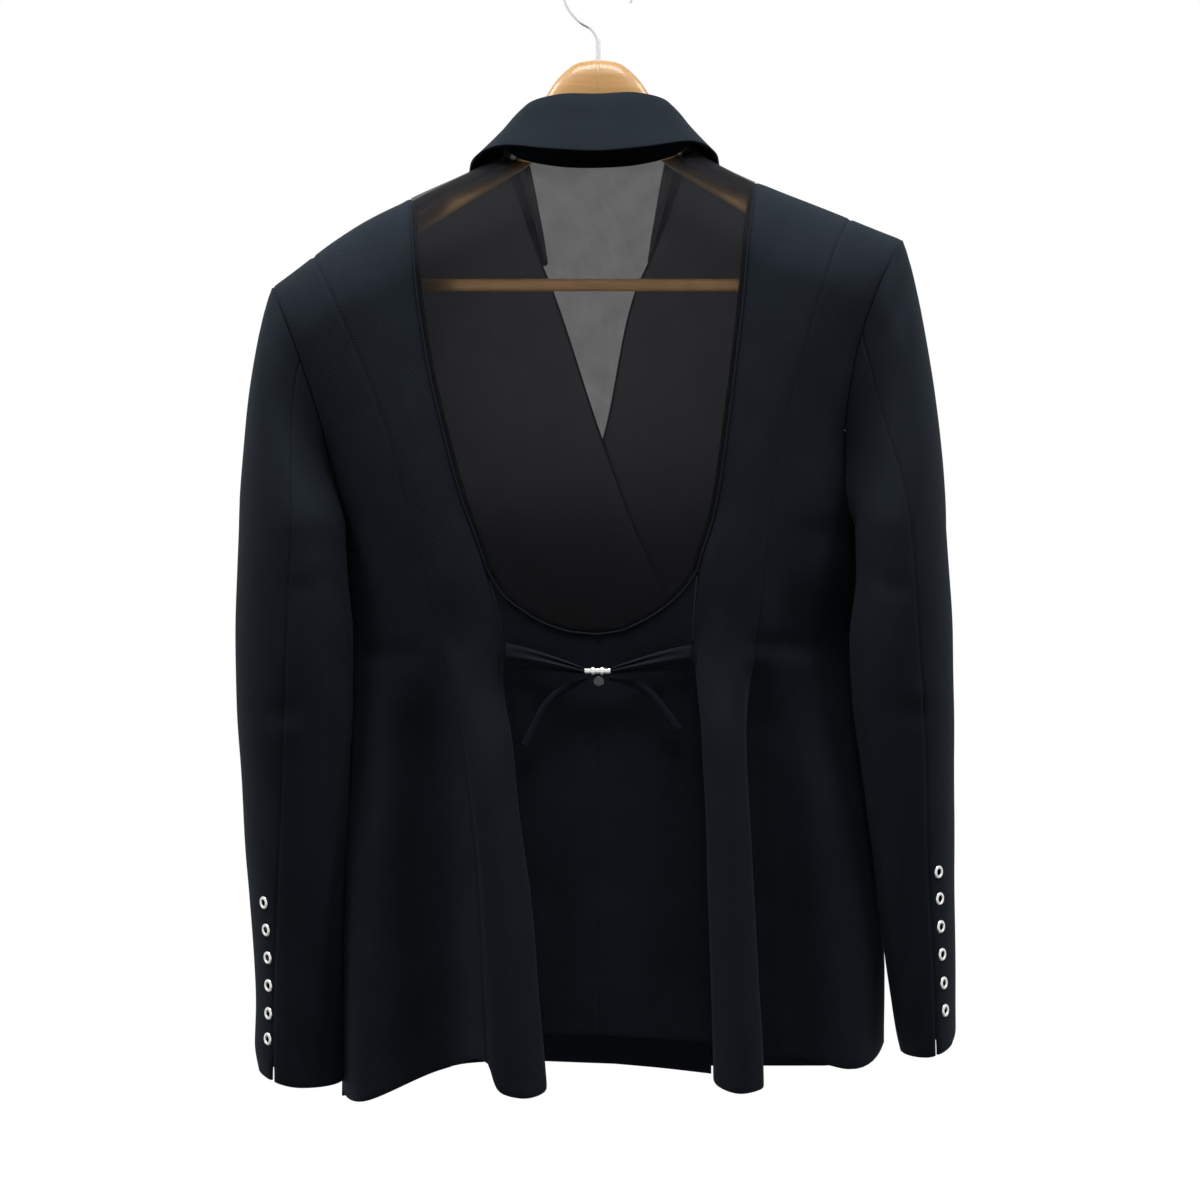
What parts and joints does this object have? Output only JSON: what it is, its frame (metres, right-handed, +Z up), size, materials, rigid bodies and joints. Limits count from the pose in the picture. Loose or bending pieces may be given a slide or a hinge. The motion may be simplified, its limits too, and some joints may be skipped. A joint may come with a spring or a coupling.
{
  "type": "tailored jacket on a wooden hanger",
  "caption": "Tailored jacket with a sheer U-shaped back inset, half-belt with metal clasp, fluted peplum and eyelet cuffs, hung on a wooden hanger.",
  "frame": {"origin": "inside of the hanger hook's top, where it hangs on its rail", "axes": "+Z up, +Y out of the jacket's back, +X to the wearer's left"},
  "size_m": [0.5426, 0.1799, 0.8639],
  "materials": {
    "suiting": "matt, fine weave",
    "mesh": "sheer, fine net",
    "lining": "soft satin",
    "eyelet_metal": "polished",
    "clasp_metal": "polished",
    "enamel": "gloss",
    "button": "semi-gloss",
    "wood": "clear varnish",
    "hook_metal": "polished"
  },
  "bodies": {
    "root": {"back_inner_left": "suiting", "back_inner_right": "suiting", "back_outer_left": "suiting", "back_outer_right": "suiting", "back_inset": "mesh", "back_lower_left": "suiting", "back_lower_right": "suiting", "front_left": "suiting", "front_right": "suiting", "lining_left": "lining", "lining_right": "lining", "lapel_left": "suiting", "lapel_right": "suiting", "collar": "suiting", "front_button": "button", "sleeve_upper_left": "suiting", "sleeve_upper_right": "suiting", "sleeve_under_left": "suiting", "sleeve_under_right": "suiting", "eyelet_left_1": "eyelet_metal", "eyelet_left_2": "eyelet_metal", "eyelet_left_3": "eyelet_metal", "eyelet_left_4": "eyelet_metal", "eyelet_left_5": "eyelet_metal", "eyelet_left_6": "eyelet_metal", "eyelet_right_1": "eyelet_metal", "eyelet_right_2": "eyelet_metal", "eyelet_right_3": "eyelet_metal", "eyelet_right_4": "eyelet_metal", "eyelet_right_5": "eyelet_metal", "eyelet_right_6": "eyelet_metal", "strap_left": "suiting", "strap_right": "suiting", "tie_left": "suiting", "tie_right": "suiting", "clasp": "clasp_metal", "pendant": "enamel", "hanger_arms": "wood", "hanger_bar": "wood", "hanger_hook": "hook_metal"}
  },
  "joints": []
}
